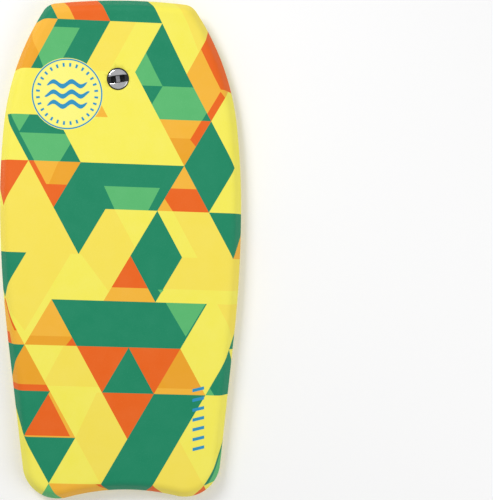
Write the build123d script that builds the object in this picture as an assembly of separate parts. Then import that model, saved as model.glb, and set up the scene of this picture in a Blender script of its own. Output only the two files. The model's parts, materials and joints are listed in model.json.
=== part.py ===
from build123d import *
import os
from math import asin, ceil, cos, hypot, sin, sqrt

# Bodyboard lying flat on its slick, deck up. X is its width, +Y its nose and +Z its deck.
# The origin is on the ground under the middle of the board. Millimetres.

# --- Outline, seen from above ---
board_length = 940.0
board_width = 456.0
wide_point_from_nose = 380.0
fore_side_length = 150.0     # gentle arc ahead of the wide point
aft_side_length = 255.0      # gentle arc behind the wide point, straight after that
fore_side_radius = 1400.0
shoulder_radius = 466.0      # from the fore side round to the nose corner
aft_side_radius = 2300.0
nose_radius = 1150.0
nose_corner_radius = 30.0
tail_corner_radius = 67.0
tail_notch_depth = 15.4      # hollow of the crescent tail

# --- Side view ---
board_thickness = 50.0
kick_length = 230.0          # stretch at the nose over which the board curves up
slick_lift = 22.0            # how far the slick has risen at the nose
nose_thinning = 4.0          # how much thinner the board is there
overrun = 25.0               # how far cutting solids run past the board

# --- Rail section ---
deck_bevel_run = 15.0        # bevel from the deck down to the rail, measured across
slick_bevel_run = 14.0       # bevel from the slick up to the rail, measured across
slick_bevel_rise = 18.0
rail_band = 8.0              # upright band between the two bevels

# --- Layers ---
deck_skin_thickness = 3.0
slick_skin_thickness = 2.5
deck_underlay_thickness = 4.0
slick_underlay_thickness = 3.0
strip_land = 5.0             # how far the edge strips run in past the bevels
nose_strip_reach = 72.0      # from the nose tip back to the joints with the rails
tail_strip_reach = 62.0

# --- Leash plug ---
plug_from_nose = 147.5
plug_offset = -4.0           # across the board
flange_radius = 18.75
flange_edge = 2.2            # thickness at the rim
flange_dome = 0.9            # extra height in the middle
washer_margin = 1.75         # how far a washer stands out past its flange
washer_thickness = 1.5
deck_flange_sink = 0.3       # rim below the deck
slick_flange_sink = 1.4      # rim below the slick, so that the board rests on foam alone
pocket_clearance = 0.3
cup_wall = 2.0
cup_floor = 2.5
rope_slot_length = 26.0
rope_slot_width = 12.0
rope_slot_depth = 12.0
rope_slot_corner = 3.0
rim_wall = 0.8               # left at the ends of the shallow groove across the flange
lip_groove_depth = 1.6
rope_slot_angle = 8.0
bar_width = 8.0
bar_depth = 4.5
bar_sink = 0.5
bar_socket = 1.8             # how far each end of the bar goes into the cup
bar_rounding = 1.4
barrel_wall = 3.2
barrel_clearance = 0.5
barrel_end_gap = 0.8         # between the barrel and the lower washer
thread_pitch = 3.0
thread_crest_radius = 6.0
thread_depth = 1.1
thread_root_share = 0.66     # widths of the ridge as shares of the pitch
thread_crest_share = 0.26
thread_clearance_share = 0.1  # room all round the ridge, as a share of the pitch
thread_length = 15.0
bore_runout = 1.0            # plain bore past the end of the inner thread
washer_clearance = 0.4
washer_play = 0.05           # between the screw's flange and its washer, so that it turns freely
stud_end_gap = 1.5
stud_lead = 1.2              # plain end ahead of the thread
stud_chamfer = 0.7
coin_slot_length = 27.0
coin_slot_width = 3.0
coin_slot_depth = 1.6
coin_slot_angle = 65.0

# --- Derived places ---
half_width = board_width / 2
nose_y = board_length / 2
tail_y = -board_length / 2
wide_y = nose_y - wide_point_from_nose
kick_y = nose_y - kick_length
deck_lift = slick_lift - nose_thinning
deck_bevel_drop = board_thickness - rail_band - slick_bevel_rise
seam_height = slick_bevel_rise + rail_band / 2
seam_lift = (slick_lift + deck_lift) / 2
core_inset = max(deck_bevel_run, slick_bevel_run) + strip_land
washer_radius = flange_radius + washer_margin
thread_root_radius = thread_crest_radius - thread_depth
thread_root_width = thread_root_share * thread_pitch
thread_crest_width = thread_crest_share * thread_pitch
thread_clearance = thread_clearance_share * thread_pitch
thread_embed = thread_clearance        # how far the ridge is sunk into its shaft
barrel_radius = thread_crest_radius + thread_clearance + barrel_wall


# --- Outline ---
def toward(start, end, distance):
    """The point at a distance from start on the way to end."""
    span = hypot(end[0] - start[0], end[1] - start[1])
    return (start[0] + (end[0] - start[0]) * distance / span,
            start[1] + (end[1] - start[1]) * distance / span)


def arc_between(centre, radius, start, end):
    middle = ((start[0] + end[0]) / 2, (start[1] + end[1]) / 2)
    return ThreePointArc(start, toward(centre, middle, radius), end)


def tangent_centre(centre_a, reach_a, centre_b, reach_b):
    """The centre at one reach from a and another from b, on the front right of the two answers."""
    dx, dy = centre_b[0] - centre_a[0], centre_b[1] - centre_a[1]
    span = hypot(dx, dy)
    along = (reach_a ** 2 - reach_b ** 2 + span ** 2) / (2 * span)
    aside = sqrt(reach_a ** 2 - along ** 2)
    foot = (centre_a[0] + along * dx / span, centre_a[1] + along * dy / span)
    answers = [(foot[0] + side * aside * dy / span, foot[1] - side * aside * dx / span)
               for side in (1, -1)]
    return max(answers, key=sum)


def outline_face():
    """The board's outline: tangent arcs down the right side, mirrored to the left."""
    fore_centre = (half_width - fore_side_radius, wide_y)
    fore_angle = asin(fore_side_length / fore_side_radius)
    fore_end = (fore_centre[0] + fore_side_radius * cos(fore_angle), wide_y + fore_side_length)
    shoulder_centre = (fore_end[0] - shoulder_radius * cos(fore_angle),
                       fore_end[1] - shoulder_radius * sin(fore_angle))
    nose_centre = (0.0, nose_y - nose_radius)
    corner_centre = tangent_centre(shoulder_centre, shoulder_radius - nose_corner_radius,
                                   nose_centre, nose_radius - nose_corner_radius)
    shoulder_end = toward(shoulder_centre, corner_centre, shoulder_radius)
    nose_end = toward(nose_centre, corner_centre, nose_radius)

    aft_centre = (half_width - aft_side_radius, wide_y)
    aft_angle = asin(aft_side_length / aft_side_radius)
    aft_end = (aft_centre[0] + aft_side_radius * cos(aft_angle), wide_y - aft_side_length)
    outward = (cos(aft_angle), -sin(aft_angle))

    tail_centre_y = tail_y + tail_corner_radius
    tail_centre_x = (-tail_corner_radius - (tail_centre_y - aft_end[1]) * outward[1]) / outward[0]
    tail_centre = (aft_end[0] + tail_centre_x, tail_centre_y)
    side_end = (tail_centre[0] + outward[0] * tail_corner_radius,
                tail_centre[1] + outward[1] * tail_corner_radius)
    rise = tail_corner_radius - tail_notch_depth
    notch_radius = ((tail_centre[0] ** 2 + rise ** 2 - tail_corner_radius ** 2)
                    / (2 * tail_notch_depth))
    notch_centre = (0.0, tail_y + tail_notch_depth - notch_radius)
    tail_end = toward(tail_centre, notch_centre, tail_corner_radius)

    right = [
        arc_between(nose_centre, nose_radius, (0.0, nose_y), nose_end),
        arc_between(corner_centre, nose_corner_radius, nose_end, shoulder_end),
        arc_between(shoulder_centre, shoulder_radius, shoulder_end, fore_end),
        arc_between(fore_centre, fore_side_radius, fore_end, (half_width, wide_y)),
        arc_between(aft_centre, aft_side_radius, (half_width, wide_y), aft_end),
        Line(aft_end, side_end),
        arc_between(tail_centre, tail_corner_radius, side_end, tail_end),
        arc_between(notch_centre, notch_radius, tail_end, (0.0, tail_y + tail_notch_depth)),
    ]
    left = [edge.mirror(Plane.YZ) for edge in right]
    return make_face(Wire(right + left))


# --- Side view ---
def rocker_radius(lift):
    return (kick_length ** 2 + lift ** 2) / (2 * lift)


def rocker_height(height, lift, shift, y):
    """Height at y of a surface that is flat, then curves up by lift; shift moves it up its normal."""
    if y <= kick_y:
        return height + shift
    radius = rocker_radius(lift)
    return height + radius - sqrt((radius - shift) ** 2 - (y - kick_y) ** 2)


def rocker_line(height, lift, shift):
    """The points of that surface's side line: tail end, start of the kick, middle and nose end."""
    end = nose_y + overrun
    return [(y, rocker_height(height, lift, shift, y))
            for y in (tail_y - overrun, kick_y, (kick_y + end) / 2, end)]


def slab_between(low, high):
    """The solid between two surfaces, each given as (height, lift, shift)."""
    low_tail, low_kick, low_mid, low_nose = rocker_line(*low)
    high_tail, high_kick, high_mid, high_nose = rocker_line(*high)
    side = Wire([
        Line(low_tail, low_kick), ThreePointArc(low_kick, low_mid, low_nose),
        Line(low_nose, high_nose), ThreePointArc(high_nose, high_mid, high_kick),
        Line(high_kick, high_tail), Line(high_tail, low_tail),
    ])
    return extrude(Plane.YZ * make_face(side), amount=half_width + overrun, both=True)


def slick_surface(depth):
    return (0.0, slick_lift, depth)


def deck_surface(depth):
    return (board_thickness, deck_lift, -depth)


seam_surface = (seam_height, seam_lift, 0.0)
ceiling = (board_thickness + overrun, deck_lift, 0.0)
basement = (-overrun, slick_lift, 0.0)


# --- Board solids ---
outline = outline_face()


def column(inset):
    """The outline pulled in by inset and drawn up past the deck."""
    shape = offset(outline, -inset) if inset else outline
    return extrude(shape, amount=board_thickness + slick_lift + overrun)


def bevel_at(run, drop, depth):
    """A bevel's run and drop on the surface that lies at a depth inside the board's."""
    slant = hypot(run, drop)
    inner_drop = drop - depth * (1 - (slant - drop) / run)
    return inner_drop * run / drop, inner_drop


def bevelled(body, cap, run, drop):
    """The body with the whole edge round one of its flat faces bevelled."""
    side_edge = cap.edges().sort_by(Axis.X)[-1]
    return chamfer(side_edge, length=run, length2=drop, reference=cap)


def board_solid(depth):
    """All of the board that lies deeper than depth under its surface."""
    body = slab_between(slick_surface(depth), deck_surface(depth)) & column(depth)
    deck_face = body.faces().filter_by(Axis.Z).sort_by(Axis.Z)[-1]
    body = bevelled(body, deck_face, *bevel_at(deck_bevel_run, deck_bevel_drop, depth))
    slick_face = body.faces().filter_by(Axis.Z).sort_by(Axis.Z)[0]
    return bevelled(body, slick_face, *bevel_at(slick_bevel_run, slick_bevel_rise, depth))


# --- Leash plug places, on an axis square to the board; heights run from its mid-plane ---
plug_y = nose_y - plug_from_nose
plug_deck_z = rocker_height(board_thickness, deck_lift, 0.0, plug_y)
plug_slick_z = rocker_height(0.0, slick_lift, 0.0, plug_y)
past_kick = max(plug_y - kick_y, 0.0)
plug_tilt = (asin(past_kick / rocker_radius(deck_lift))
             + asin(past_kick / rocker_radius(slick_lift))) / 2
plug_plane = Plane(origin=(plug_offset, plug_y, (plug_deck_z + plug_slick_z) / 2),
                   x_dir=(1, 0, 0), z_dir=(0, -sin(plug_tilt), cos(plug_tilt)))
half_gap = (plug_deck_z - plug_slick_z) / 2 * cos(plug_tilt)

rim_top = half_gap - deck_flange_sink
flange_low = rim_top - flange_edge
deck_pocket_floor = flange_low - washer_thickness
rope_slot_floor = rim_top - rope_slot_depth
cup_bottom = rope_slot_floor - cup_floor
cup_radius = (hypot(rope_slot_length / 2 - rope_slot_corner, rope_slot_width / 2 - rope_slot_corner)
              + rope_slot_corner + cup_wall)
screw_flange_top = -half_gap + slick_flange_sink + flange_edge
slick_pocket_floor = screw_flange_top + washer_thickness
barrel_end = slick_pocket_floor + barrel_end_gap
stud_top = cup_bottom - stud_end_gap
thread_start = stud_top - stud_lead - thread_length


def disc(radius, low, high):
    return Pos(0, 0, low) * Cylinder(radius, high - low, align=(Align.CENTER, Align.CENTER, Align.MIN))


def rounded_slot(length, width, corner, low, high):
    return Pos(0, 0, low) * extrude(RectangleRounded(length, width, corner), amount=high - low)


def domed_flange():
    """A round flange standing on its flat face, its top rising to the middle."""
    dome_radius = (flange_radius ** 2 + flange_dome ** 2) / (2 * flange_dome)
    mid_rise = sqrt(dome_radius ** 2 - (flange_radius / 2) ** 2) - (dome_radius - flange_dome)
    profile = Wire([
        Line((0, 0), (flange_radius, 0)),
        Line((flange_radius, 0), (flange_radius, flange_edge)),
        ThreePointArc((flange_radius, flange_edge), (flange_radius / 2, flange_edge + mid_rise),
                      (0, flange_edge + flange_dome)),
        Line((0, flange_edge + flange_dome), (0, 0)),
    ])
    return revolve(Plane.XZ * make_face(profile), axis=Axis.Z)


def thread_ridge(start, length, clearance):
    """The helical ridge of a right-hand thread, grown all round by the clearance."""
    root = thread_root_radius + clearance
    crest = thread_crest_radius + clearance
    crest_half = thread_crest_width / 2 + clearance
    flank_slope = (thread_root_width - thread_crest_width) / 2 / (crest - root)
    embedded_half = crest_half + flank_slope * (crest - root + thread_embed)
    profile = Polyline((root - thread_embed, start - embedded_half), (crest, start - crest_half),
                       (crest, start + crest_half), (root - thread_embed, start + embedded_half),
                       close=True)
    path = Helix(pitch=thread_pitch, height=length, radius=root, center=(0, 0, start))
    return sweep(Plane.XZ * make_face(profile), path=path, is_frenet=True)


def plug_void():
    """The stepped hole through the board that the leash plug sits in."""
    above, below = half_gap + overrun, -half_gap - overrun
    pocket_radius = washer_radius + pocket_clearance
    return (disc(barrel_radius + barrel_clearance, below, above)
            + disc(cup_radius + pocket_clearance, cup_bottom, above)
            + disc(pocket_radius, deck_pocket_floor, above)
            + disc(pocket_radius, below, slick_pocket_floor))


def crossbar():
    """The bar across the rope slot that a leash is tied to."""
    length = rope_slot_width + 2 * bar_socket
    bar = Pos(0, 0, rim_top - bar_sink - bar_depth / 2) * Box(bar_width, length, bar_depth)
    return Rot(0, 0, rope_slot_angle) * fillet(bar.edges().filter_by(Axis.Y), radius=bar_rounding)


def plug_cup():
    """The upper half of the plug: flange, rope cup and threaded barrel."""
    above = rim_top + flange_dome + 1
    solid = (Pos(0, 0, flange_low) * domed_flange()
             + disc(cup_radius, cup_bottom, flange_low)
             + disc(barrel_radius, barrel_end, cup_bottom))
    groove_length = 2 * sqrt((flange_radius - rim_wall) ** 2 - (rope_slot_width / 2) ** 2)
    turn = Rot(0, 0, rope_slot_angle)
    rope_slot = rounded_slot(rope_slot_length, rope_slot_width, rope_slot_corner,
                             rope_slot_floor, above)
    lip_groove = Pos(0, 0, rim_top - lip_groove_depth) * Box(
        groove_length, rope_slot_width, above - rim_top + lip_groove_depth,
        align=(Align.CENTER, Align.CENTER, Align.MIN))
    solid = solid - turn * rope_slot - turn * lip_groove - crossbar()
    turns_below = ceil((thread_start - barrel_end) / thread_pitch) + 1
    bore_start = thread_start - turns_below * thread_pitch
    bore_ridge_top = cup_bottom - thread_root_width / 2 - thread_clearance - bore_runout
    bore = (disc(thread_root_radius + thread_clearance, barrel_end - thread_pitch, cup_bottom)
            + thread_ridge(bore_start, bore_ridge_top - bore_start, thread_clearance))
    return solid - bore


def deck_washer():
    return (disc(washer_radius, deck_pocket_floor, flange_low)
            - disc(cup_radius + washer_clearance, deck_pocket_floor, flange_low))


def slick_washer():
    washer_low = screw_flange_top + washer_play
    return (disc(washer_radius, washer_low, slick_pocket_floor)
            - disc(thread_crest_radius + washer_clearance, washer_low, slick_pocket_floor))


def plug_screw():
    """The lower half of the plug: flange with a coin slot, and a threaded stud."""
    stud = disc(thread_root_radius, screw_flange_top, stud_top)
    stud = chamfer(stud.edges().sort_by(Axis.Z)[-1], length=stud_chamfer)
    solid = (Pos(0, 0, screw_flange_top) * Rot(180, 0, 0) * domed_flange()
             + stud + thread_ridge(thread_start, thread_length, 0.0))
    lowest = screw_flange_top - flange_edge - flange_dome
    slot = Pos(0, 0, lowest) * Box(coin_slot_length, coin_slot_width, 2 * coin_slot_depth)
    return solid - Rot(0, 0, coin_slot_angle) * slot


# --- Sub-parts ---
def board_parts():
    """The foam board: skins, edge strips, underlays and core, with the plug's hole through them."""
    whole = board_solid(0.0)
    upper_half = slab_between(seam_surface, ceiling)
    lower_half = slab_between(basement, seam_surface)
    under_deck = board_solid(deck_skin_thickness) & upper_half
    over_slick = board_solid(slick_skin_thickness) & lower_half
    core_column = column(core_inset)
    edge_ring = (under_deck + over_slick) - core_column

    deck_underside = deck_skin_thickness + deck_underlay_thickness
    slick_top = slick_skin_thickness + slick_underlay_thickness
    core_deck, core_slick = deck_surface(deck_underside), slick_surface(slick_top)

    span = board_width + 2 * overrun
    nose_block = Pos(0, nose_y + overrun, 0) * Box(span, 2 * (nose_strip_reach + overrun), span)
    tail_block = Pos(0, tail_y - overrun, 0) * Box(span, 2 * (tail_strip_reach + overrun), span)
    side_ring = edge_ring - nose_block - tail_block
    right_block = Pos(span / 2, 0, 0) * Box(span, board_length, span)
    left_block = Pos(-span / 2, 0, 0) * Box(span, board_length, span)

    hole = plug_plane * plug_void()
    return {
        "deck_skin": (whole & upper_half) - under_deck - hole,
        "slick_skin": (whole & lower_half) - over_slick - hole,
        "nose_strip": edge_ring & nose_block,
        "tail_strip": edge_ring & tail_block,
        "rail_left": side_ring & left_block,
        "rail_right": side_ring & right_block,
        "deck_underlay": (core_column & slab_between(core_deck, deck_surface(deck_skin_thickness))) - hole,
        "slick_underlay": (core_column & slab_between(slick_surface(slick_skin_thickness), core_slick)) - hole,
        "foam_core": (core_column & slab_between(core_slick, core_deck)) - hole,
    }


def plug_parts():
    shapes = {
        "plug_cup": plug_cup(),
        "plug_crossbar": crossbar(),
        "plug_deck_washer": deck_washer(),
        "plug_slick_washer": slick_washer(),
        "plug_screw": plug_screw(),
    }
    return {name: plug_plane * shape for name, shape in shapes.items()}


os.makedirs("parts", exist_ok=True)
for name, shape in {**board_parts(), **plug_parts()}.items():
    export_step(shape, f"parts/{name}.step")
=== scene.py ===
"""A bodyboard on a pale floor: printed foam deck, yellow slick and a screw-together leash plug.

Lengths are millimetres until a mesh is made, and then metres. X is the board's width, +Y its
nose and +Z its deck, as in the CAD frame.
"""
import json
from math import acos, asin, atan2, ceil, cos, hypot, pi, radians, sin, sqrt, tan

import bpy
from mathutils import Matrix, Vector, kdtree, noise
from mathutils.geometry import delaunay_2d_cdt


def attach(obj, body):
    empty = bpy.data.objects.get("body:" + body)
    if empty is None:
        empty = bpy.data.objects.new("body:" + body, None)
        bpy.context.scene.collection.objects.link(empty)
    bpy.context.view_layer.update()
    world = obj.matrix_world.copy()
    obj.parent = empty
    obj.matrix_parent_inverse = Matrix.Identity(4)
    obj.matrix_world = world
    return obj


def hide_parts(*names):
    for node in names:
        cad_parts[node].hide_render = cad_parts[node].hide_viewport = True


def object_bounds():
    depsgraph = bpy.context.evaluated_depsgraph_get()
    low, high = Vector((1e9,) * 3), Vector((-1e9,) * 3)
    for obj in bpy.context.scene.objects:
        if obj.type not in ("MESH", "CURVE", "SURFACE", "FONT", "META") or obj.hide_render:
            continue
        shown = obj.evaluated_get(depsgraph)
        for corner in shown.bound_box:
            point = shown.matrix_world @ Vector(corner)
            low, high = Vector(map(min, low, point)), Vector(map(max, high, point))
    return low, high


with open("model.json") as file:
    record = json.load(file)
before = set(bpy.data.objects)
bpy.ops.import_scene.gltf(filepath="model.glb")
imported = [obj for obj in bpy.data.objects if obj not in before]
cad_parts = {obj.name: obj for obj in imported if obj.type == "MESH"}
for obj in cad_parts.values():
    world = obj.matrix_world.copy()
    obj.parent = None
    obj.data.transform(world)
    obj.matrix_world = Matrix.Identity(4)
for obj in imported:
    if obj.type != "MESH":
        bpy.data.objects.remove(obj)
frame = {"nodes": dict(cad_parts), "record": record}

cad_low, cad_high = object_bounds()
MM = 0.001

# ---------------------------------------------------------------- Board sizes, as in the CAD
BOARD_WIDTH = (cad_high.x - cad_low.x) / MM
NOSE_Y = cad_high.y / MM
TAIL_Y = cad_low.y / MM
THICKNESS = 50.0
WIDE_Y = NOSE_Y - 380.0
FORE_LENGTH, FORE_RADIUS = 150.0, 1400.0
AFT_LENGTH, AFT_RADIUS = 255.0, 2300.0
SHOULDER_RADIUS = 466.0
NOSE_RADIUS, NOSE_CORNER = 1150.0, 30.0
TAIL_CORNER, NOTCH_DEPTH = 67.0, 15.4
KICK_LENGTH = 230.0
KICK_Y = NOSE_Y - KICK_LENGTH
SLICK_LIFT, DECK_LIFT = 22.0, 18.0
SEAM_HEIGHT, SEAM_LIFT = 22.0, 20.0
BAND_TOP, BAND_FOOT = 26.0, 18.0
DECK_BEVEL, SLICK_BEVEL = 15.0, 14.0
DECK_SKIN, SLICK_SKIN = 3.0, 2.5

# How closely the outline is followed
OUTLINE_STEP, FINE_STEP = 5.0, 0.5
NOSE_CORNER_STEP, TAIL_CORNER_STEP = 2.0, 3.0

# The rounded lip at the seam, as (inset, distance from the seam)
SEAM_LIP = ((1.1, 0.0), (0.55, 0.15), (0.15, 0.5), (0.0, 1.0))

# The rest of the rail section: points round its two corners, and on the flat beyond them
LOW_POINTS, HIGH_POINTS = 5, 9
FLAT_AHEAD, FLAT_RUNS = 40.0, (4.0, 9.0, 16.0)
# Where the inner line's points lie along its bevel, as shares of it
INNER_LOW, INNER_STEP, INNER_HIGH = 0.15, 0.25, 0.8
INNER_AHEAD = 2.0            # how far the inner line runs ahead of the outer on the flat

# Slight unevenness of the foam faces: depth, wavelengths, and where it fades out
UNEVEN_DEPTH, UNEVEN_ACROSS, UNEVEN_ALONG = 0.35, 42.0, 55.0
UNEVEN_EDGE_FADE, UNEVEN_PLUG_CLEAR, UNEVEN_PLUG_FADE = 25.0, 24.0, 20.0

# ---------------------------------------------------------------- Leash plug, as in the CAD
screw = next(j for j in frame["record"]["behaviour"]["joints"] if j["name"] == "plug_screw_turn")
PLUG_UP = -Vector(screw["axis"]).normalized()
PLUG_ORIGIN = Vector(screw["pos_m"]) / MM
PLUG_X, PLUG_Y = PLUG_ORIGIN.x, PLUG_ORIGIN.y
HALF_GAP = 24.7              # from the plug's middle to the deck and to the slick
DECK_RIM, SLICK_RIM = HALF_GAP - 0.3, HALF_GAP - 1.4
FLANGE_RADIUS, FLANGE_EDGE = 18.75, 2.2
PLUG_POCKET, WASHER_RADIUS = 20.8, 20.5
HOLE_PAST_POCKET, HOLE_POINTS = 0.1, 72
ROPE_SLOT_WIDTH, ROPE_SLOT_ANGLE = 12.0, radians(8)
COIN_SLOT_LENGTH, COIN_SLOT_WIDTH = 27.0, 3.0
COIN_SLOT_ANGLE = radians(65)


# ---------------------------------------------------------------- Outline
def toward(start, end, distance):
    """The point a distance from start on the line to end."""
    span = hypot(end[0] - start[0], end[1] - start[1])
    return (start[0] + (end[0] - start[0]) * distance / span,
            start[1] + (end[1] - start[1]) * distance / span)


def tangent_centre(a, reach_a, b, reach_b):
    """The centre at one reach from a and another from b, on the front right."""
    dx, dy = b[0] - a[0], b[1] - a[1]
    span = hypot(dx, dy)
    along = (reach_a ** 2 - reach_b ** 2 + span ** 2) / (2 * span)
    aside = sqrt(reach_a ** 2 - along ** 2)
    foot = (a[0] + along * dx / span, a[1] + along * dy / span)
    return max(((foot[0] + side * aside * dy / span, foot[1] - side * aside * dx / span)
                for side in (1, -1)), key=sum)


def arc_samples(centre, radius, start, end, step):
    """Points and outward directions along an arc, with the end left out."""
    first = atan2(start[1] - centre[1], start[0] - centre[0])
    turn = atan2(end[1] - centre[1], end[0] - centre[0]) - first
    turn = (turn + pi) % (2 * pi) - pi
    count = max(2, ceil(abs(turn) * abs(radius) / step))
    out = []
    for i in range(count):
        a = first + turn * i / count
        side = 1 if radius > 0 else -1
        out.append((centre[0] + abs(radius) * cos(a), centre[1] + abs(radius) * sin(a),
                    side * cos(a), side * sin(a)))
    return out


def outline_samples(step):
    """The board's outline from the nose clockwise: x, y and the outward direction."""
    half = BOARD_WIDTH / 2
    fore = (half - FORE_RADIUS, WIDE_Y)
    fore_angle = asin(FORE_LENGTH / FORE_RADIUS)
    fore_end = (fore[0] + FORE_RADIUS * cos(fore_angle), WIDE_Y + FORE_LENGTH)
    shoulder = (fore_end[0] - SHOULDER_RADIUS * cos(fore_angle),
                fore_end[1] - SHOULDER_RADIUS * sin(fore_angle))
    nose = (0.0, NOSE_Y - NOSE_RADIUS)
    corner = tangent_centre(shoulder, SHOULDER_RADIUS - NOSE_CORNER,
                            nose, NOSE_RADIUS - NOSE_CORNER)
    aft = (half - AFT_RADIUS, WIDE_Y)
    aft_angle = asin(AFT_LENGTH / AFT_RADIUS)
    aft_end = (aft[0] + AFT_RADIUS * cos(aft_angle), WIDE_Y - AFT_LENGTH)
    out = (cos(aft_angle), -sin(aft_angle))
    tail_y = TAIL_Y + TAIL_CORNER
    tail = (aft_end[0] + (-TAIL_CORNER - (tail_y - aft_end[1]) * out[1]) / out[0], tail_y)
    side_end = (tail[0] + out[0] * TAIL_CORNER, tail[1] + out[1] * TAIL_CORNER)
    rise = TAIL_CORNER - NOTCH_DEPTH
    notch_radius = (tail[0] ** 2 + rise ** 2 - TAIL_CORNER ** 2) / (2 * NOTCH_DEPTH)
    notch = (0.0, TAIL_Y + NOTCH_DEPTH - notch_radius)
    tail_end = toward(tail, notch, TAIL_CORNER)

    nose_end = toward(nose, corner, NOSE_RADIUS)
    shoulder_end = toward(shoulder, corner, SHOULDER_RADIUS)
    right = arc_samples(nose, NOSE_RADIUS, (0.0, NOSE_Y), nose_end, step)
    right += arc_samples(corner, NOSE_CORNER, nose_end, shoulder_end,
                         min(step, NOSE_CORNER_STEP))
    right += arc_samples(shoulder, SHOULDER_RADIUS, shoulder_end, fore_end, step)
    right += arc_samples(fore, FORE_RADIUS, fore_end, (half, WIDE_Y), step)
    right += arc_samples(aft, AFT_RADIUS, (half, WIDE_Y), aft_end, step)
    length = hypot(side_end[0] - aft_end[0], side_end[1] - aft_end[1])
    count = ceil(length / step)
    right += [(aft_end[0] + (side_end[0] - aft_end[0]) * i / count,
               aft_end[1] + (side_end[1] - aft_end[1]) * i / count, *out) for i in range(count)]
    right += arc_samples(tail, TAIL_CORNER, side_end, tail_end, min(step, TAIL_CORNER_STEP))
    right += arc_samples(notch, -notch_radius, tail_end, (0.0, TAIL_Y + NOTCH_DEPTH), step)
    middle = (0.0, TAIL_Y + NOTCH_DEPTH, 0.0, -1.0)
    left = [(-x, y, -nx, ny) for x, y, nx, ny in reversed(right[1:])]
    return right + [middle] + left


OUTLINE = outline_samples(OUTLINE_STEP)
FINE_OUTLINE = outline_samples(FINE_STEP)
NEAREST = kdtree.KDTree(len(FINE_OUTLINE))
for index, (x, y, _, _) in enumerate(FINE_OUTLINE):
    NEAREST.insert((x, y, 0), index)
NEAREST.balance()


def rocker(height, lift, y):
    """Height at y of a surface that is flat, then curves up by lift at the nose."""
    if y <= KICK_Y:
        return height
    radius = (KICK_LENGTH ** 2 + lift ** 2) / (2 * lift)
    return height + radius - sqrt(radius ** 2 - (y - KICK_Y) ** 2)


# ---------------------------------------------------------------- Rail section
def rounded_corner(before, corner, after, radius, count):
    """Points round a corner between two straight runs."""
    a = (Vector(before) - Vector(corner)).normalized()
    b = (Vector(after) - Vector(corner)).normalized()
    half = acos(max(-1, min(1, a.dot(b)))) / 2
    reach = radius / tan(half)
    centre = Vector(corner) + (a + b).normalized() * radius / sin(half)
    start, end = Vector(corner) + a * reach, Vector(corner) + b * reach
    first = (start - centre).normalized()
    last = (end - centre).normalized()
    turn = acos(max(-1, min(1, first.dot(last))))
    out = []
    for i in range(count + 1):
        t = i / count
        w = (first * sin((1 - t) * turn) + last * sin(t * turn)) / sin(turn)
        out.append(tuple(centre + w * radius))
    return out


def rail_section(edge, run, cap, seam_sign, rounding, skin):
    """The rail's outer and inner lines from the seam to the flat: (inset, height) pairs.

    edge is the height where the upright band meets the bevel, and cap the flat's height.
    """
    lip = [(inset, SEAM_HEIGHT + seam_sign * off) for inset, off in SEAM_LIP]
    low = rounded_corner((0, SEAM_HEIGHT), (0, edge), (run, cap), rounding[0], LOW_POINTS)
    high = rounded_corner((0, edge), (run, cap), (run + FLAT_AHEAD, cap), rounding[1],
                          HIGH_POINTS)
    middle = [tuple(Vector(low[-1]).lerp(Vector(high[0]), t)) for t in (1 / 3, 2 / 3)]
    flat = [(high[-1][0] + extra, cap) for extra in FLAT_RUNS]
    outer = lip + low + middle + high + flat

    slant = hypot(run, cap - edge)
    inner_edge = edge + seam_sign * (-skin * (slant - abs(cap - edge)) / run)
    inner_cap = cap - seam_sign * skin
    inner_run = skin + (abs(inner_cap - inner_edge)) * run / abs(cap - edge)
    corner_a, corner_b = Vector((skin, inner_edge)), Vector((inner_run, inner_cap))
    inner = []
    for i, point in enumerate(outer):
        if i < len(lip):
            inner.append((skin, point[1]))
        elif i < len(lip) + len(low):
            t = (i - len(lip)) / (len(low) - 1)
            start, end = Vector((skin, low[0][1])), corner_a.lerp(corner_b, INNER_LOW)
            inner.append(tuple(start.lerp(corner_a, t * 2) if t < 0.5
                               else corner_a.lerp(end, t * 2 - 1)))
        elif i < len(lip) + len(low) + 2:
            share = INNER_LOW + INNER_STEP * (i - len(lip) - len(low) + 1)
            inner.append(tuple(corner_a.lerp(corner_b, share)))
        elif i < len(lip) + len(low) + 2 + len(high):
            t = (i - len(lip) - len(low) - 2) / (len(high) - 1)
            start = corner_a.lerp(corner_b, INNER_HIGH)
            end = Vector((high[-1][0] + INNER_AHEAD, inner_cap))
            inner.append(tuple(start.lerp(corner_b, t * 2) if t < 0.5
                               else corner_b.lerp(end, t * 2 - 1)))
        else:
            inner.append((point[0] + INNER_AHEAD, inner_cap))
    return outer, inner


def running_lengths(points):
    """The length along a line up to each of its points."""
    out = [0.0]
    for a, b in zip(points, points[1:]):
        out.append(out[-1] + hypot(b[0] - a[0], b[1] - a[1]))
    return out


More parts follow.
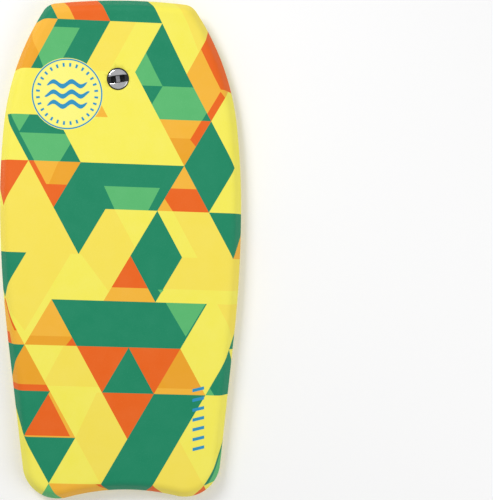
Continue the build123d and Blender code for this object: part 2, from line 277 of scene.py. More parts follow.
class Skin:
    """One side's foam skin: its rail section, and how flat sheet coordinates wrap onto it."""

    def __init__(self, edge, run, cap, side, rounding, thickness, lift):
        self.outer, self.inner = rail_section(edge, run, cap, side, rounding, thickness)
        self.lengths = running_lengths(self.outer)
        self.reach = self.lengths[-1]
        self.growth = self.reach - self.outer[-1][0]
        self.edge, self.cap, self.side, self.lift = edge, cap, side, lift
        self.thickness = thickness

    def height(self, h, y):
        """Height at y of the section's height h, drawn up or down to follow the rocker."""
        surface = rocker(self.cap, self.lift, y)
        seam = rocker(SEAM_HEIGHT, SEAM_LIFT, y)
        past = (h - SEAM_HEIGHT) / (self.edge - SEAM_HEIGHT)
        if past < 1:
            return seam + (surface - self.cap + self.edge - seam) * past
        return surface - self.cap + h

    def section(self, line, s):
        """The point of the outer or inner line at a length s from the seam."""
        for i in range(1, len(self.lengths)):
            if s <= self.lengths[i] or i == len(self.lengths) - 1:
                t = (s - self.lengths[i - 1]) / (self.lengths[i] - self.lengths[i - 1])
                a, b = line[i - 1], line[i]
                return a[0] + (b[0] - a[0]) * t, a[1] + (b[1] - a[1]) * t

    def wrap(self, q, inside=False):
        """A point of the flat sheet in its place on the board."""
        _, index, _ = NEAREST.find((q.x, q.y, 0))
        x, y, nx, ny = FINE_OUTLINE[index]
        out = (q.x - x) * nx + (q.y - y) * ny
        s = self.growth - out
        if s >= self.reach:
            cap = self.cap - self.side * self.thickness if inside else self.cap
            wave = 0 if inside else self.wave(q, s)
            return Vector((q.x, q.y, self.height(cap, q.y) + wave))
        inset, h = self.section(self.inner if inside else self.outer, max(s, 0.0))
        px, py = q.x - nx * (out + inset), q.y - ny * (out + inset)
        return Vector((px, py, self.height(h, py)))

    def wave(self, q, s):
        """Slight unevenness of hand-laid foam, always into the board, none near the edges."""
        fade = min(1.0, (s - self.reach) / UNEVEN_EDGE_FADE)
        near = hypot(q.x - PLUG_X, q.y - PLUG_Y)
        fade *= min(1.0, max(0.0, (near - UNEVEN_PLUG_CLEAR) / UNEVEN_PLUG_FADE))
        depth = 0.5 + 0.5 * noise.noise(Vector((q.x / UNEVEN_ACROSS, q.y / UNEVEN_ALONG,
                                                3.0 * self.side)))
        return -self.side * UNEVEN_DEPTH * depth * fade


DECK = Skin(BAND_TOP, DECK_BEVEL, THICKNESS, 1, (11.5, 17.0), DECK_SKIN, DECK_LIFT)
SLICK = Skin(BAND_FOOT, SLICK_BEVEL, 0.0, -1, (8.5, 14.0), SLICK_SKIN, SLICK_LIFT)

# ---------------------------------------------------------------- Print
# The deck's print is a slanted lattice of flat triangles. A corner is (row, half column);
# rows run down from the nose, and half columns from left to right.
HALF_COLUMN, ROW = 48.44, 86.14
LATTICE_X, LATTICE_Y = -171.2, 420.8
ROW_SLOPE, ROW_LEAN = 0.0352, 2.07
LATTICE_BOW = 1.2e-5         # sideways, growing with the square of the distance from the middle
NOSE_STRETCH = 1.07          # the print's first rows are drawn out over the kick


def place(row, column):
    """A lattice corner in the flat sheet."""
    x = LATTICE_X + HALF_COLUMN * column - ROW_LEAN * (row - 3)
    down = row if row >= 1 else 1 - (1 - row) * NOSE_STRETCH
    y = LATTICE_Y - ROW * down - ROW_SLOPE * x
    return Vector((x + LATTICE_BOW * y * y, y))


def up(row, column):
    """A triangle with its point at (row, column) and its foot a row lower."""
    return [(row, column), (row + 1, column - 1), (row + 1, column + 1)]


def down(row, column):
    """A triangle with its top edge from (row, column) and its point a row lower."""
    return [(row, column), (row, column + 2), (row + 1, column + 1)]


PRINT = [
    # Warmer yellow
    ("warm", [(0, 3), (0, 4), (1, 3), (1, 2)]),
    ("warm", [(-1, 5), (0, 6), (0.55, 6.45), (0, 7), (-1, 8)]),
    ("warm", [(4, -2), (4, 1), (5, 2), (5, -1)]),
    ("warm", [(3, -1), (3, 0), (4, 1), (4, -1)]),
    ("warm", [(4, 3), (4, 3.35), (4.8, 4.15), (5, 4), (5, 2)]),
    ("warm", [(4, 5.6), (4, 7), (5, 8), (5, 6.6)]),
    ("warm", [(5, 0), (5, 1.7), (6.7, 0), (6, -1)]),
    ("warm", [(5, 2.1), (5, 4), (5.8, 3.2)]),
    ("warm", [(5, 6), (5, 9), (5.7, 9), (5.7, 5.3)]),
    ("warm", [(6, 7.4), (6, 9), (7, 8.4)]),
    ("warm", [(7, 1.5), (7, 2), (7.88, 2.88), (7.88, 0.7)]),
    ("warm", [(8, 2.8), (8, 3), (9, 4), (9, 2)]),
    ("warm", [(9, 2), (9, 4), (10, 3)]),
    ("warm", [(9, 6), (10.6, 7.6), (10.6, 5.6), (10, 5)]),
    # Over the nose
    ("green", [(-1, 0), (0, 1), (0, -1)]),
    ("orange", [(-1, 0), (0, 1), (0, 1.65), (-1, 0.65)]),
    ("red", [(-1, 0.65), (0, 1.65), (0, 3), (-1, 2)]),
    ("green", [(-1, 2), (0, 3), (0, 5), (-1, 4)]),
    # Row 0
    ("orange", [(0, -1), (0, 1), (1, 0), (1, -2)]),
    ("amber", [(0, -1), (0, -0.4), (0.7, 0.3), (1, 0), (1, -2)]),
    ("green", [(0, 1), (0, 3), (1, 2), (1, 0)]),
    ("lime", [(0.16, 0.84), (0.16, 1.84), (1, 1), (1, 0.5), (0.72, 0.28)]),
    ("green", up(0, 5)),
    ("red", [(-1, 8), (0.48, 6.52), (1.3, 7.34), (1.3, 9), (0, 9)]),
    ("orange", [(0.48, 6.52), (1, 6), (1.84, 6.84), (1.35, 7.33), (1.3, 7.34)]),
    ("orange", [(1.3, 7.34), (1.3, 7.75), (1.47, 7.53), (1.35, 7.33)]),
    ("red", [(1.35, 7.33), (1.47, 7.53), (2, 7), (1.84, 6.84)]),
    # Row 1
    ("green", [(1, 4), (1, 6), (2, 7), (2, 5)]),
    ("lime", [(0.6, 4.4), (1.28, 5.08), (1.28, 4.28), (1, 4)]),
    ("lime", [(1.28, 5.08), (1.28, 6.28), (1.82, 6.82), (2, 6.64), (2, 5), (1.68, 4.68)]),
    ("orange", [(1.68, 2.68), (2, 3), (2, 2.4)]),
    # Row 2
    ("green", [(2, -1), (2, 1), (3, 2), (3, 0)]),
    ("lime", [(2, -0.75), (2, 0), (2.38, -0.38)]),
    ("lime", [(2.4, -0.38), (2.4, 1.4), (2.6, 1.6), (3, 1.2), (3, 0.22)]),
    ("orange", down(2, 5)),
    ("amber", [(2.4, 5.4), (2.4, 6.6), (3, 6)]),
    ("red", [(2, 6.62), (2, 7), (2.57, 6.43), (2.42, 6.2)]),
    ("green", [(2, 7), (3, 8), (4, 7), (3, 6)]),
    # Row 3
    ("red", down(3, -2)),
    ("orange", down(3, 0)),
    ("amber", [(3, 1.15), (3, 2), (3.5, 1.5), (3.5, 0.8)]),
    ("red", [(3, 0), (3, 0.2), (3.5, 0.7), (3.5, 1.5), (4, 1)]),
    ("green", [(3, 2), (3, 6), (4, 5), (4, 1)]),
    ("lime", [(3.5, 2.92), (3.5, 5.08), (4, 4.65), (4, 3.35)]),
    ("orange", up(3, 6)),
    ("red", [(3.5, 5.5), (3.5, 6.5), (4, 7), (4, 5.6), (3.73, 5.27)]),
    # Row 4
    ("green", down(4, 1)),
    ("green", [(4, 5), (5, 6), (6, 5), (5, 4)]),
    ("green", down(4, 7)),
    ("orange", up(4, 9)),
    # Row 5
    ("green", down(5, -2)),
    ("orange", up(5, 4)),
    ("red", [(5, 4), (5.7, 3.3), (5.7, 4.7)]),
    ("lime", [(5.72, 5.08), (5.72, 5.32), (5.8, 5.2)]),
    # Row 6
    ("orange", up(6, -1)),
    ("red", [(6.75, -1.75), (6.75, -0.75), (7, -0.6), (7, -2)]),
    ("red", [(6, -1), (6.7, -0.3), (6.7, -0.4), (6.1, -1)]),
    ("orange", up(6, 1)),
    ("amber", [(6.8, 0.2), (6.8, 1.8), (7, 2), (7, 0)]),
    ("red", [(6.82, 1.82), (7, 2), (7, 1.58)]),
    ("green", [(6, 1), (6, 7), (7, 6), (7, 2)]),
    ("lime", [(6, 5.4), (6, 6.95), (6.73, 6.2)]),
    ("green", up(6, 9)),
    # Row 7
    ("green", down(7, -2)),
    ("amber", up(7, 0)),
    ("red", [(7.86, -0.86), (7.86, 0.86), (8, 1), (8, -1)]),
    ("red", down(7, 2)),
    ("green", up(7, 4)),
    ("red", down(7, 4)),
    ("amber", up(7, 6)),
    ("orange", [(7.87, 5.13), (7.87, 6.87), (8, 7), (8, 5)]),
    ("green", up(7, 8)),
    ("lime", [(7.84, 7.16), (8, 7.35), (8, 7)]),
    # Row 8
    ("green", down(8, -1)),
    ("orange", up(8, 1)),
    ("red", [(8.06, 0.94), (8.97, 0.03), (8.97, 1.8)]),
    ("red", down(8, 3)),
    ("green", [(8, 5), (8, 7), (9, 6), (9, 4)]),
    # Row 9
    ("green", down(9, 0)),
    ("green", [(9, 4), (9, 6), (10, 5), (10, 3)]),
    ("green", up(9, 8)),
    ("lime", [(9.1, 8), (10, 7.2), (10, 9)]),
    # Over the tail
    ("lime", up(10, 1)),
    ("orange", [(10, 1), (10, 3), (11, 4), (11, 2)]),
    ("red", [(10, 2.8), (10, 3), (10.2, 3.2)]),
    ("green", down(10, 3)),
    ("red", up(10, 5)),
    ("red", up(10, 7)),
]

# Edges are cut at these steps of rows or half columns, and never this near a corner
ROW_CUT, COLUMN_CUT, CUT_MARGIN = 0.1, 0.2, 0.15

# A plain round badge near the nose, and a column of plain bars near the tail
BADGE_X, BADGE_Y, BADGE_RADIUS = -98.8, 292.4, 65.8
BADGE_RINGS = ((1.2, "pale"), (0.0, "blue"), (-2.6, "pale"))   # past its radius, and colour
RING_POINTS = 96
BADGE_TICKS, TICK_INNER, TICK_OUTER, TICK_HALF_ANGLE = 28, 51.0, 58.0, 0.035
WAVE_REACH, WAVE_HEIGHT, WAVE_LENGTH, WAVE_THICKNESS = 42.0, 4.5, 34.0, 9.0
WAVE_SPACING, WAVE_POINTS = 2.1, 24
BAR_X, BAR_TOP, BAR_PITCH, BAR_COUNT = 134.0, -262.0, 18.5, 7
BAR_WIDTH, BAR_HEIGHT, BAR_SLANT = 22.0, 6.0, 5.0


def circle(x, y, radius, count):
    """Points round a circle."""
    return [Vector((x + radius * cos(2 * pi * i / count), y + radius * sin(2 * pi * i / count)))
            for i in range(count)]


def lattice_edge(a, b):
    """The points from one lattice corner towards another, cut at whole steps of the lattice."""
    if abs(b[0] - a[0]) > 1e-6:
        n0, n1 = a[0] / ROW_CUT, b[0] / ROW_CUT
    else:
        n0, n1 = a[1] / COLUMN_CUT, b[1] / COLUMN_CUT
    lo, hi = sorted((n0, n1))
    cuts = list(range(ceil(lo + CUT_MARGIN), int(hi - CUT_MARGIN) + 1))
    if n1 < n0:
        cuts.reverse()
    out = [place(*a)]
    for n in cuts:
        t = (n - n0) / (n1 - n0)
        out.append(place(a[0] + (b[0] - a[0]) * t, a[1] + (b[1] - a[1]) * t))
    return out


def print_shapes():
    """Every printed shape as (material, outline in the flat sheet), later ones on top."""
    shapes = []
    for colour, corners in PRINT:
        outline = []
        for a, b in zip(corners, corners[1:] + corners[:1]):
            outline += lattice_edge(a, b)
        shapes.append((colour, outline))
    for past, colour in BADGE_RINGS:
        shapes.append((colour, circle(BADGE_X, BADGE_Y, BADGE_RADIUS + past, RING_POINTS)))
    shapes += badge_ticks() + badge_waves() + slanted_bars()
    return shapes


def badge_ticks():
    """Short plain marks round the badge, like a dial's."""
    out = []
    for i in range(BADGE_TICKS):
        middle = 2 * pi * (i + 0.5) / BADGE_TICKS
        half = TICK_HALF_ANGLE
        corners = ((TICK_INNER, -half), (TICK_OUTER, -half), (TICK_OUTER, half), (TICK_INNER, half))
        out.append(("blue", [Vector((BADGE_X + r * cos(middle + a), BADGE_Y + r * sin(middle + a)))
                             for r, a in corners]))
    return out


def badge_waves():
    """Three plain wavy bands across the middle of the badge."""
    out = []
    for row in (-1, 0, 1):
        level = row * WAVE_SPACING * WAVE_THICKNESS
        reach = sqrt(WAVE_REACH ** 2 - level ** 2)
        crest, foot = [], []
        for i in range(WAVE_POINTS + 1):
            x = -reach + 2 * reach * i / WAVE_POINTS
            middle = BADGE_Y + level + WAVE_HEIGHT * sin(2 * pi * x / WAVE_LENGTH)
            half = WAVE_THICKNESS / 2 * sqrt(max(0.02, 1 - (x / reach) ** 4))
            crest.append(Vector((BADGE_X + x, middle + half)))
            foot.append(Vector((BADGE_X + x, middle - half)))
        out.append(("blue", crest + foot[::-1]))
    return out


def slanted_bars():
    """A column of plain slanted bars."""
    out = []
    for i in range(BAR_COUNT):
        x0, x1 = BAR_X, BAR_X + BAR_WIDTH
        y1 = BAR_TOP - BAR_PITCH * i
        y0 = y1 - BAR_HEIGHT
        out.append(("blue", [Vector((x0, y0)), Vector((x1, y0 + BAR_SLANT)),
                             Vector((x1, y1 + BAR_SLANT)), Vector((x0, y1))]))
    return out


# ---------------------------------------------------------------- Sheet into mesh
def smooth_object(name, mesh):
    """The object of a new mesh, smooth shaded and in the scene."""
    mesh.polygons.foreach_set("use_smooth", [True] * len(mesh.polygons))
    mesh.update()
    mesh.validate()
    piece = bpy.data.objects.new(name, mesh)
    bpy.context.scene.collection.objects.link(piece)
    return piece


# Points between the shapes: how near the rail's lines they come, and their rows' pitch,
# as shares of the grid; then how near two points may be before they are one
GRID_CLEAR, GRID_ROW = 0.5, 0.9
SHEET_TOLERANCE, PLATE_TOLERANCE = 0.01, 0.001


def sheet_piece(name, skin, shapes, base, materials, hole, grid):
    """A closed skin, cut along its print, wrapped over the rail and given its thickness."""
    points, edges, faces, tags = [], [], [], []

    def add(outline, tag):
        """A shape of the sheet, turned anticlockwise."""
        area = sum(a.cross(b) for a, b in zip(outline, outline[1:] + outline[:1]))
        first = len(points)
        points.extend(outline if area > 0 else outline[::-1])
        faces.append(list(range(first, len(points))))
        tags.append(tag)

    rim = [Vector((x + nx * skin.growth, y + ny * skin.growth)) for x, y, nx, ny in OUTLINE]
    add(rim, "board")
    for s in skin.lengths[1:]:
        first = len(points)
        points.extend(Vector((x + nx * (skin.growth - s), y + ny * (skin.growth - s)))
                      for x, y, nx, ny in OUTLINE)
        count = len(OUTLINE)
        edges.extend((first + i, first + (i + 1) % count) for i in range(count))
    for colour, outline in shapes:
        add(outline, colour)
    add(circle(*hole, HOLE_POINTS), "hole")
    clear = skin.reach + grid * GRID_CLEAR
    for i in range(int(BOARD_WIDTH / grid) + 2):
        for j in range(int((NOSE_Y - TAIL_Y) / grid) + 2):
            q = Vector(((i + 0.5 * (j % 2)) * grid - BOARD_WIDTH / 2,
                        TAIL_Y + j * grid * GRID_ROW))
            if q.y > NOSE_Y:
                continue
            _, index, _ = NEAREST.find((q.x, q.y, 0))
            x, y, nx, ny = FINE_OUTLINE[index]
            if (q.x - x) * nx + (q.y - y) * ny < skin.growth - clear:
                points.append(q)

    cut, _, triangles, _, _, origins = delaunay_2d_cdt(points, edges, faces, 0,
                                                       SHEET_TOLERANCE)
    kept = []
    for triangle, origin in zip(triangles, origins):
        found = {tags[i] for i in origin}
        if "board" not in found or "hole" in found:
            continue
        layer = max((i for i in origin if tags[i] != "board"), default=None)
        kept.append((list(triangle), tags[layer] if layer is not None else base))

    used = sorted({i for triangle, _ in kept for i in triangle})
    number = {old: new for new, old in enumerate(used)}
    outer = [skin.wrap(cut[i]) for i in used]
    inner = [skin.wrap(cut[i], inside=True) for i in used]
    count = len(used)
    polygons, slots = [], []
    names = list(materials)
    sides = {}
    for triangle, colour in kept:
        t = [number[i] for i in triangle]
        if skin.side < 0:
            t.reverse()
        polygons.append(t)
        slots.append(names.index(colour))
        for a, b in zip(t, t[1:] + t[:1]):
            sides[(a, b)] = names.index(colour)
    for triangle in polygons[:len(kept)]:
        polygons.append([i + count for i in reversed(triangle)])
        slots.append(names.index(base))
    for (a, b), colour in sides.items():
        if (b, a) not in sides:
            polygons.append([b, a, a + count, b + count])
            slots.append(colour)
    mesh = bpy.data.meshes.new(name)
    mesh.from_pydata([p * MM for p in outer + inner], [], polygons)
    for colour in names:
        mesh.materials.append(materials[colour])
    mesh.polygons.foreach_set("material_index", slots)
    return smooth_object(name, mesh)


# ---------------------------------------------------------------- Materials
def node(tree, kind, **settings):
    """A new node; a setting that starts with in_ is an input's value."""
    made = tree.nodes.new(kind)
    for key, value in settings.items():
        if key.startswith("in_"):
            made.inputs[key[3:].replace("_", " ")].default_value = value
        else:
            setattr(made, key, value)
    return made


def srgb(code):
    """A hex colour as linear RGBA."""
    parts = [int(code[i:i + 2], 16) / 255 for i in (0, 2, 4)]
    return (*[c / 12.92 if c <= 0.04045 else ((c + 0.055) / 1.055) ** 2.4 for c in parts], 1.0)


def start_material(name):
    """A new material with a Principled shader: the material, its tree and the shader."""
    material = bpy.data.materials.new(name)
    material.use_nodes = True
    tree = material.node_tree
    tree.nodes.clear()
    shader = node(tree, "ShaderNodeBsdfPrincipled")
    output = node(tree, "ShaderNodeOutputMaterial")
    tree.links.new(shader.outputs[0], output.inputs[0])
    return material, tree, shader


def noise_field(tree, coords, scale, detail=2.0, roughness=0.5):
    made = node(tree, "ShaderNodeTexNoise", in_Scale=scale, in_Detail=detail,
                in_Roughness=roughness)
    tree.links.new(coords, made.inputs["Vector"])
    return made.outputs["Fac"]


def remap(tree, value, low, high, to_low, to_high):
    made = node(tree, "ShaderNodeMapRange")
    tree.links.new(value, made.inputs["Value"])
    for key, number in (("From Min", low), ("From Max", high),
                        ("To Min", to_low), ("To Max", to_high)):
        made.inputs[key].default_value = number
    return made.outputs["Result"]


def mixed(tree, fac, a, b):
    made = node(tree, "ShaderNodeMix", data_type="RGBA")
    tree.links.new(fac, made.inputs["Factor"])
    for socket, value in ((made.inputs[6], a), (made.inputs[7], b)):
        if isinstance(value, tuple):
            socket.default_value = value
        else:
            tree.links.new(value, socket)
    return made.outputs[2]


def bumped(tree, shader, layers):
    """Bump from (height, strength, distance in metres) layers, one over the other."""
    normal = None
    for height, strength, distance in layers:
        made = node(tree, "ShaderNodeBump", in_Strength=strength, in_Distance=distance)
        tree.links.new(height, made.inputs["Height"])
        if normal:
            tree.links.new(normal, made.inputs["Normal"])
        normal = made.outputs["Normal"]
    tree.links.new(normal, shader.inputs["Normal"])


def printed_foam(name, colour, speck, specks):
    """Printed polyethylene foam: soft satin skin over fine cells, with slightly uneven ink."""
    material, tree, shader = start_material(name)
    coords = node(tree, "ShaderNodeTexCoord").outputs["Object"]
    cloud = noise_field(tree, coords, 30.0, 3.0)
    grain = noise_field(tree, coords, 520.0, 3.0, 0.65)
    cells = node(tree, "ShaderNodeTexVoronoi", in_Scale=900.0)
    tree.links.new(coords, cells.inputs["Vector"])
    tone = mixed(tree, remap(tree, cloud, 0.3, 0.7, 0.0, 0.14), srgb(colour), srgb(speck))
    tone = mixed(tree, remap(tree, grain, 0.56, 0.72, 0.0, specks), tone, srgb(speck))
    tree.links.new(tone, shader.inputs["Base Color"])
    tree.links.new(remap(tree, grain, 0.3, 0.7, 0.5, 0.68), shader.inputs["Roughness"])
    shader.inputs["Specular IOR Level"].default_value = 0.22
    bumped(tree, shader, [(cloud, 0.25, 0.0006), (grain, 0.22, 0.00025),
                          (cells.outputs["Distance"], 0.12, 0.0001)])
    return material


def slick_sheet(name, colour, deep):
    """Smooth satin slick: soft gloss, with faint long waves and fine scuffs along its length."""
    material, tree, shader = start_material(name)
    coords = node(tree, "ShaderNodeTexCoord").outputs["Object"]
    cloud = noise_field(tree, coords, 9.0, 2.0)
    stretch = node(tree, "ShaderNodeMapping")
    stretch.inputs["Scale"].default_value = (420.0, 14.0, 420.0)
    tree.links.new(coords, stretch.inputs["Vector"])
    scuffs = noise_field(tree, stretch.outputs[0], 1.0, 3.0, 0.6)
    grain = noise_field(tree, coords, 380.0, 2.0)
    tone = mixed(tree, remap(tree, cloud, 0.25, 0.75, 0.0, 0.3), srgb(colour), srgb(deep))
    tone = mixed(tree, remap(tree, scuffs, 0.55, 0.75, 0.0, 0.22), tone, srgb(deep))
    tree.links.new(tone, shader.inputs["Base Color"])
    tree.links.new(remap(tree, scuffs, 0.3, 0.8, 0.34, 0.5), shader.inputs["Roughness"])
    shader.inputs["Specular IOR Level"].default_value = 0.45
    bumped(tree, shader, [(cloud, 0.2, 0.0008), (grain, 0.12, 0.00012), (scuffs, 0.06, 0.00008)])
    return material


def foam(name, colour, deep, cell):
    """Bare cut foam, matt, with cells of a size in metres."""
    material, tree, shader = start_material(name)
    coords = node(tree, "ShaderNodeTexCoord").outputs["Object"]
    cells = node(tree, "ShaderNodeTexVoronoi", in_Scale=1 / cell)
    tree.links.new(coords, cells.inputs["Vector"])
    grain = noise_field(tree, coords, 700.0, 2.0)
    walls = remap(tree, cells.outputs["Distance"], 0.2, 0.8, 0.0, 1.0)
    tone = mixed(tree, walls, srgb(colour), srgb(deep))
    tree.links.new(tone, shader.inputs["Base Color"])
    tree.links.new(remap(tree, grain, 0.3, 0.7, 0.75, 0.9), shader.inputs["Roughness"])
    bumped(tree, shader, [(cells.outputs["Distance"], 0.4, 0.0004), (grain, 0.2, 0.0001)])
    return material


def moulded(name, colour, light, metallic, rough):
    """Moulded or plated plastic: faint flow marks and fine scratches."""
    material, tree, shader = start_material(name)
    coords = node(tree, "ShaderNodeTexCoord").outputs["Object"]
    flow = noise_field(tree, coords, 140.0, 3.0)
    fine = noise_field(tree, coords, 1800.0, 2.0)
    tone = mixed(tree, remap(tree, flow, 0.3, 0.7, 0.0, 1.0), srgb(colour), srgb(light))
    tree.links.new(tone, shader.inputs["Base Color"])
    shader.inputs["Metallic"].default_value = metallic
    scratched = remap(tree, fine, 0.3, 0.7, rough * 0.8, rough * 1.25)
    tree.links.new(scratched, shader.inputs["Roughness"])
    bumped(tree, shader, [(flow, 0.1, 0.0002), (fine, 0.05, 0.00003)])
    return material


def plug_hole(height):
    """The plug's pocket, seen from above, where its axis is at a height on itself."""
    middle = PLUG_ORIGIN + PLUG_UP * height
    return middle.x, middle.y, PLUG_POCKET + HOLE_PAST_POCKET


# Each ink: its colour, its specks' colour, and how strong the specks are
inks = {
    "yellow": printed_foam("print_yellow", "F4EA56", "FBF38A", 0.35),
    "warm": printed_foam("print_warm_yellow", "F5E053", "F8E878", 0.35),
    "pale": printed_foam("print_pale_yellow", "F8F27A", "FCF8A0", 0.3),
    "orange": printed_foam("print_orange", "F3B434", "F7C060", 0.3),
    "amber": printed_foam("print_amber", "EBA322", "F2AE50", 0.3),
    "red": printed_foam("print_red_orange", "E96313", "F07F42", 0.35),
    "green": printed_foam("print_green", "14855F", "3B9A78", 0.5),
    "lime": printed_foam("print_light_green", "58B66E", "74C886", 0.4),
    "blue": printed_foam("print_blue", "2890BC", "4B9FD4", 0.3),
}
slick_material = slick_sheet("slick_yellow", "F3E23C", "E6CF2C")

DECK_GRID, SLICK_GRID = 10.0, 12.0
deck_piece = sheet_piece("board_deck", DECK, print_shapes(), "yellow", inks,
                         plug_hole(HALF_GAP), DECK_GRID)
slick_piece = sheet_piece("board_slick", SLICK, [], "slick", {"slick": slick_material},
                          plug_hole(-HALF_GAP), SLICK_GRID)
for piece, slot in ((deck_piece, "deck_skin"), (slick_piece, "slick_skin")):
    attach(piece, "board")
    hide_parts(slot)


# ---------------------------------------------------------------- Plug pieces
def plug_piece(name, rows, sides, body, material, facing):
    """A mesh from (across, along, out) points in the plug's own axes, out along its facing."""
    out = PLUG_UP * facing
    across = Vector((1, 0, 0))
    along = out.cross(across)
    mesh = bpy.data.meshes.new(name)
    mesh.from_pydata([(PLUG_ORIGIN + across * a + along * b + out * c) * MM for a, b, c in rows],
                     [], sides)
    mesh.materials.append(material)
    piece = smooth_object(name, mesh)
    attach(piece, body)
    return piece


PLATE_GRID, PLATE_MARGIN = 1.1, 0.4
FILLET_STEPS = (0.0, 0.08, 0.25, 0.55, 1.0)
SLOT_END_STEPS = 12
CUT_TOLERANCE = 0.003


def domed_plate(name, radius, slot, angle, base, rim, dome, fillet, body, material, facing):
    """A round plate with a rounded edge and a slot, its face rising to the middle.

    slot is (length, width); base and rim are heights out from the plug's middle.
    """
    half_l, half_w = slot[0] / 2, slot[1] / 2
    turn = (cos(angle), sin(angle))

    def to_slot(x, y):
        """Distance out from the slot's edge."""
        u, v = abs(x * turn[0] + y * turn[1]), abs(y * turn[0] - x * turn[1])
        du, dv = u - (half_l - half_w), v
        return hypot(du, dv) - half_w if du > 0 else dv - half_w

    points, edges = [], []

    def loop(ring):
        """A closed line of the plate's mesh."""
        first = len(points)
        points.extend(ring)
        edges.extend((first + i, first + (i + 1) % len(ring)) for i in range(len(ring)))

    for step in FILLET_STEPS:
        loop(circle(0, 0, radius - fillet * step, RING_POINTS))
        reach, width = half_l + fillet * step, half_w + fillet * step
        outline = []
        for side in (1, -1):
            for i in range(SLOT_END_STEPS + 1):
                a = -pi / 2 + pi * i / SLOT_END_STEPS
                outline.append((side * (reach - width + width * cos(a)), side * width * sin(a)))
        loop([Vector((u * turn[0] - v * turn[1], u * turn[1] + v * turn[0])) for u, v in outline])
    count = int(2 * radius / PLATE_GRID) + 1
    clear = fillet + PLATE_MARGIN
    for i in range(count):
        for j in range(count):
            x, y = i * PLATE_GRID - radius, j * PLATE_GRID - radius
            if hypot(x, y) < radius - clear and to_slot(x, y) > clear:
                points.append(Vector((x, y)))
    cut, _, triangles, _, _, _ = delaunay_2d_cdt(points, edges, [], 0, PLATE_TOLERANCE)
    kept = []
    for t in triangles:
        x, y = sum(cut[i].x for i in t) / 3, sum(cut[i].y for i in t) / 3
        if hypot(x, y) < radius - CUT_TOLERANCE and to_slot(x, y) > CUT_TOLERANCE:
            kept.append(list(t))
    used = sorted({i for t in kept for i in t})
    number = {old: new for new, old in enumerate(used)}
    face, back = [], []
    for i in used:
        x, y = cut[i]
        near = max(0.0, min(radius - hypot(x, y), to_slot(x, y), fillet))
        drop = fillet - sqrt(max(0.0, fillet ** 2 - (fillet - near) ** 2))
        face.append((x, y, rim + dome * (1 - (hypot(x, y) / radius) ** 2) - drop))
        back.append((x, y, base))
    sides, border = [], {}     # a dict keeps the border's order
    for t in kept:
        t = [number[i] for i in t]
        sides.append(t)
        border.update({(a, b): True for a, b in zip(t, t[1:] + t[:1])})
    count = len(used)
    sides += [[i + count for i in reversed(t)] for t in sides]
    sides += [[b, a, a + count, b + count] for a, b in border if (b, a) not in border]
    return plug_piece(name, face + back, sides, body, material, facing)


CROWN_SHARE, CROWN_STEPS = 0.8, 8


def gasket(name, inner, outer, foot, crown, body, material, facing):
    """A rubber ring with a rounded crown."""
    middle, half = (inner + outer) / 2, (outer - inner) / 2
    rise = half * CROWN_SHARE
    section = [(inner, foot), (inner, crown - rise)]
    section += [(middle - half * cos(pi * i / CROWN_STEPS),
                 crown - rise + rise * sin(pi * i / CROWN_STEPS)) for i in range(1, CROWN_STEPS)]
    section += [(outer, crown - rise), (outer, foot)]
    rows, sides, count = [], [], RING_POINTS
    for i in range(count):
        a = 2 * pi * i / count
        rows += [(r * cos(a), r * sin(a), h) for r, h in section]
    size = len(section)
    for i in range(count):
        for j in range(size):
            a, b = i * size + j, i * size + (j + 1) % size
            c, d = ((i + 1) % count) * size + (j + 1) % size, ((i + 1) % count) * size + j
            sides.append([a, d, c, b])
    return plug_piece(name, rows, sides, body, material, facing)


bright = moulded("bright_plating", "DDDEE2", "F0F0F2", 1.0, 0.1)
smoky = moulded("smoky_plastic", "77767F", "8E8D96", 0.75, 0.24)
rubber = moulded("black_rubber", "08080A", "141416", 0.0, 0.55)
PLATE_RADIUS, PLATE_DEPTH = FLANGE_RADIUS - 0.1, 1.2
# Each plate: how far its rim stands past its flange's, its rise to the middle, its edge's radius
DOME_PAST, DOME_RISE, DOME_FILLET = 0.35, 1.3, 1.0
FACE_PAST, FACE_RISE, FACE_FILLET = 0.12, 0.95, 0.8
# The gaskets: their bore, how far they stand out past the washer and up past the flange's rim
GASKET_INNER = FLANGE_RADIUS + 0.02
DECK_GASKET_OUT, DECK_GASKET_PAST = 0.25, 0.35
SLICK_GASKET_OUT, SLICK_GASKET_PAST = 0.15, -0.1
GASKET_FOOT = 1.4            # how far a gasket reaches under its flange
rope_slot = (3 * FLANGE_RADIUS, ROPE_SLOT_WIDTH + 0.2)     # right across the plate
domed_plate("plug_dome", PLATE_RADIUS, rope_slot, ROPE_SLOT_ANGLE, DECK_RIM - PLATE_DEPTH,
            DECK_RIM + DOME_PAST, DOME_RISE, DOME_FILLET, "board", bright, 1)
domed_plate("screw_face", PLATE_RADIUS, (COIN_SLOT_LENGTH, COIN_SLOT_WIDTH), -COIN_SLOT_ANGLE,
            SLICK_RIM - PLATE_DEPTH, SLICK_RIM + FACE_PAST, FACE_RISE, FACE_FILLET,
            "plug_screw_body", smoky, -1)
deck_gasket = gasket("deck_gasket", GASKET_INNER, WASHER_RADIUS + DECK_GASKET_OUT,
                     DECK_RIM - FLANGE_EDGE - GASKET_FOOT, DECK_RIM + DECK_GASKET_PAST,
                     "board", rubber, 1)
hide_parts("plug_deck_washer")
slick_gasket = gasket("slick_gasket", GASKET_INNER, WASHER_RADIUS + SLICK_GASKET_OUT,
                      SLICK_RIM - FLANGE_EDGE - GASKET_FOOT, SLICK_RIM + SLICK_GASKET_PAST,
                      "plug_travel", rubber, -1)
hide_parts("plug_slick_washer")

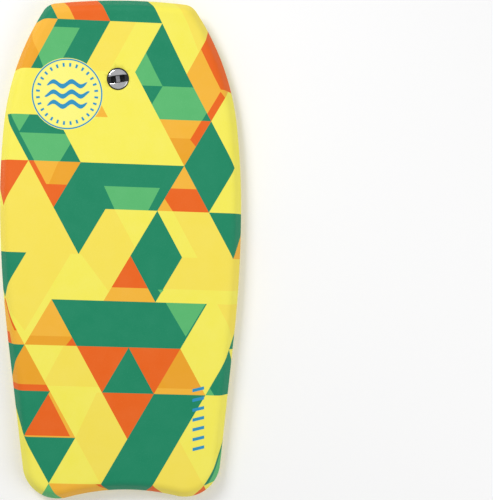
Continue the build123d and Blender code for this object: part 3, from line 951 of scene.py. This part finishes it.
# ---------------------------------------------------------------- The CAD's own nodes
RAIL_FOAM = ("F2E878", "E9DC60", 0.0012)
UNDERLAY_FOAM = ("F1F0EA", "E2E0D8", 0.0009)
finishes = {
    "plug_cup": moulded("black_well", "0C0C0E", "17171A", 0.0, 0.4),
    "plug_crossbar": moulded("grey_bar", "8E8E92", "A8A8AC", 0.85, 0.3),
    "plug_screw": moulded("dark_screw", "1A1A1D", "2A2A2E", 0.0, 0.3),
    "nose_strip": foam("nose_foam", *RAIL_FOAM),
    "tail_strip": foam("tail_foam", *RAIL_FOAM),
    "rail_left": foam("left_rail_foam", *RAIL_FOAM),
    "rail_right": foam("right_rail_foam", *RAIL_FOAM),
    "deck_underlay": foam("deck_under_foam", *UNDERLAY_FOAM),
    "slick_underlay": foam("slick_under_foam", *UNDERLAY_FOAM),
    "foam_core": foam("bead_foam", "F6F6F3", "E4E4E0", 0.004),
}
for name, material in finishes.items():
    piece = frame["nodes"][name]
    for i in range(len(piece.material_slots)):
        piece.material_slots[i].material = material
    if not piece.material_slots:
        piece.data.materials.append(material)

# ---------------------------------------------------------------- Floor, light and camera
FLOOR_HALF, FLOOR_DROP = 6.0, 0.0002
floor_mesh = bpy.data.meshes.new("floor")
floor_mesh.from_pydata([(x * FLOOR_HALF, y * FLOOR_HALF, 0)
                        for x, y in ((-1, -1), (1, -1), (1, 1), (-1, 1))], [], [(0, 1, 2, 3)])
floor = bpy.data.objects.new("floor", floor_mesh)
floor.location.z = cad_low.z - FLOOR_DROP
bpy.context.scene.collection.objects.link(floor)
paper, tree, shader = start_material("pale_floor")
shader.inputs["Base Color"].default_value = (0.97, 0.97, 0.97, 1)
shader.inputs["Roughness"].default_value = 0.9
floor_mesh.materials.append(paper)

bpy.context.scene.view_settings.view_transform = "Standard"    # keeps the inks saturated
world = bpy.data.worlds.new("studio")
world.use_nodes = True
backdrop = world.node_tree.nodes["Background"]
backdrop.inputs["Color"].default_value = (1.0, 1.0, 1.0, 1)
backdrop.inputs["Strength"].default_value = 0.5
bpy.context.scene.world = world


def area_light(name, position, aim, size, power):
    """A round soft light that points at aim, in metres and watts."""
    data = bpy.data.lights.new(name, "AREA")
    data.shape, data.size, data.energy = "DISK", size, power
    lamp = bpy.data.objects.new(name, data)
    lamp.location = position
    lamp.rotation_euler = (Vector(aim) - Vector(position)).to_track_quat("-Z", "Y").to_euler()
    bpy.context.scene.collection.objects.link(lamp)


area_light("key", (-1.2, 1.5, 2.2), (0, 0.05, 0), 1.2, 41)
area_light("fill", (2.0, -0.7, 1.9), (0, 0, 0), 2.0, 21)

# The camera looks down on the deck, with the board in the left half of its view
camera_data = bpy.data.cameras.new("camera")
camera_data.lens = 83.0
camera = bpy.data.objects.new("camera", camera_data)
camera.location = (0.119, 0.0, 2.223)
camera.rotation_euler = (0.0, radians(-3.1), radians(-0.14))
bpy.context.scene.collection.objects.link(camera)
bpy.context.scene.camera = camera
